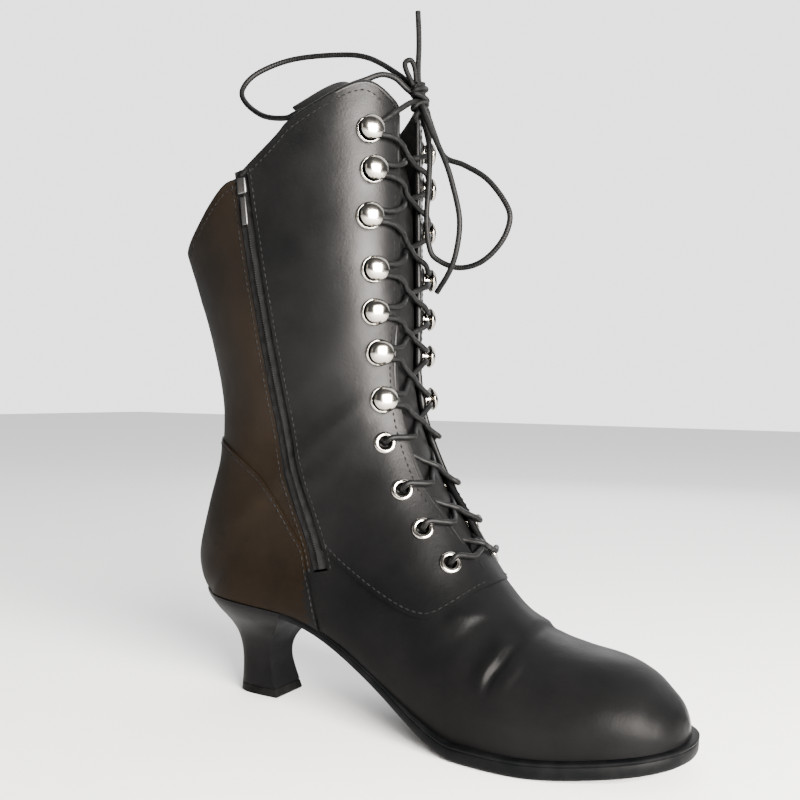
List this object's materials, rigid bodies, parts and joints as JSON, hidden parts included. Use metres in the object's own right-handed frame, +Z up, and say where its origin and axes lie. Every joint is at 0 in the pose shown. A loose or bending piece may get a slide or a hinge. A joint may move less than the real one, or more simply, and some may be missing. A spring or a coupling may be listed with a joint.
{
  "type": "lace-up boot",
  "caption": "Victorian ankle boot with pointed round toe, spool heel, laced front with hooks and eyelets, and a zip on the inner side.",
  "frame": {"origin": "on the floor under the middle of the boot's length and width", "axes": "+X towards the toe, +Y to the outer side of this left boot, +Z up"},
  "size_m": [0.2552, 0.0906, 0.3275],
  "materials": {
    "leather": "smooth, soft sheen",
    "tongue_leather": "smooth",
    "sole": "matte",
    "heel": "satin",
    "lining": "brushed",
    "zip_tape": "woven",
    "nickel": "polished nickel",
    "lace": "waxed"
  },
  "bodies": {
    "root": {"upper": "leather", "outsole": "sole", "heel": "heel", "insole": "lining", "tongue": "tongue_leather", "zip": "zip_tape", "hook_inner_1": "nickel", "hook_inner_2": "nickel", "hook_inner_3": "nickel", "hook_inner_4": "nickel", "hook_inner_5": "nickel", "hook_inner_6": "nickel", "hook_inner_7": "nickel", "eyelet_inner_1": "nickel", "eyelet_inner_2": "nickel", "eyelet_inner_3": "nickel", "eyelet_inner_4": "nickel", "hook_outer_1": "nickel", "hook_outer_2": "nickel", "hook_outer_3": "nickel", "hook_outer_4": "nickel", "hook_outer_5": "nickel", "hook_outer_6": "nickel", "hook_outer_7": "nickel", "eyelet_outer_1": "nickel", "eyelet_outer_2": "nickel", "eyelet_outer_3": "nickel", "eyelet_outer_4": "nickel", "lace_cross_01": "lace", "lace_cross_02": "lace", "lace_cross_03": "lace", "lace_cross_04": "lace", "lace_cross_05": "lace", "lace_cross_06": "lace", "lace_cross_07": "lace", "lace_cross_08": "lace", "lace_cross_09": "lace", "lace_cross_10": "lace", "lace_knot": "lace", "lace_loop_rear": "lace", "lace_loop_front": "lace", "lace_end_up": "lace", "lace_end_down": "lace"}
  },
  "joints": []
}
